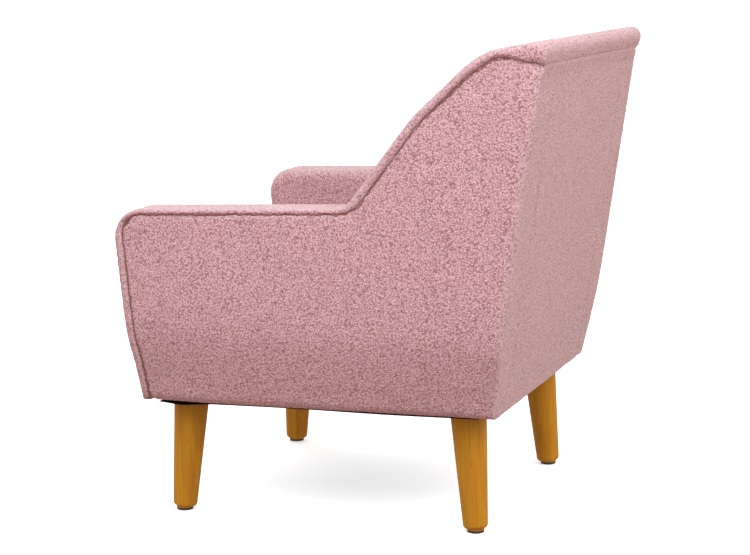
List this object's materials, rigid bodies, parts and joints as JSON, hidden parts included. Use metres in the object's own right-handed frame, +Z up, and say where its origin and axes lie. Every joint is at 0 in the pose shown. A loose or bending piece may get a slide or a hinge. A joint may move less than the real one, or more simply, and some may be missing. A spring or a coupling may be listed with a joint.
{
  "type": "upholstered armchair",
  "caption": "Upholstered armchair with sloping wings running from low arms to a raked back, a loose seat cushion and turned, splayed wooden legs.",
  "frame": {"origin": "on the floor, below the middle of the overall box", "axes": "+Z up, the chair faces -Y, +X to the sitter's left; mirror-symmetric about the plane X = 0"},
  "size_m": [0.6934, 0.7056, 0.783],
  "materials": {
    "fabric": "pink boucle with a short looped pile",
    "fabric_back": "the same pink boucle, on the outside back",
    "oak": "satin lacquered oak, grain along the leg",
    "glide": "matte moulded",
    "zinc_steel": "zinc plated",
    "spring_steel": "oiled wire",
    "webbing": "woven elastic",
    "felt": "needled felt",
    "seam": "dark stitched seam",
    "dust_cloth": "black non-woven cloth",
    "deck_cloth": "plain woven platform cloth",
    "zipper": "nylon coil zip on a woven tape",
    "foam": "open-cell upholstery foam",
    "wadding": "polyester wadding",
    "plywood": "raw thin plywood",
    "pine": "sawn softwood"
  },
  "bodies": {
    "chair": {"leg_front_left": "oak", "leg_front_right": "oak", "leg_rear_left": "oak", "leg_rear_right": "oak", "leg_glides": "glide", "hanger_bolts": "zinc_steel", "leg_plates": "zinc_steel", "leg_plate_screws": "zinc_steel", "front_rail": "pine", "rear_rail": "pine", "side_rail_left": "pine", "side_rail_right": "pine", "corner_blocks": "pine", "corner_block_screws": "zinc_steel", "frame_screws": "zinc_steel", "front_post_left": "pine", "front_post_right": "pine", "rear_post_left": "pine", "rear_post_right": "pine", "arm_rail_left": "pine", "arm_rail_right": "pine", "wing_rail_left": "pine", "wing_rail_right": "pine", "outer_board_left": "plywood", "outer_board_right": "plywood", "inner_board_left": "plywood", "inner_board_right": "plywood", "top_rail": "pine", "lumbar_rail": "pine", "back_webbing": "webbing", "back_board": "plywood", "seat_springs": "spring_steel", "spring_clips": "spring_steel", "spring_insulator": "felt", "deck_foam": "foam", "deck_cloth": "deck_cloth", "arm_foam_left": "foam", "arm_foam_right": "foam", "side_wadding_left": "wadding", "side_wadding_right": "wadding", "back_foam": "foam", "back_wadding": "wadding", "front_rail_foam": "foam", "arm_cover_left": "fabric", "arm_cover_right": "fabric", "side_cover_left": "fabric", "side_cover_right": "fabric", "inside_back_cover": "fabric", "outside_back_cover": "fabric_back", "front_rail_cover": "fabric", "tack_strip_left": "seam", "tack_strip_right": "seam", "dust_cover": "dust_cloth", "dust_cover_staples": "zinc_steel"},
    "seat_cushion": {"cushion_foam": "foam", "cushion_cover": "fabric", "cushion_zipper": "zipper"}
  },
  "joints": [
    {"name": "seat_cushion_lift", "type": "slide", "parent": "chair", "child": "seat_cushion", "axis": [0, 0, 1], "range_m": [0, 0.25]}
  ]
}
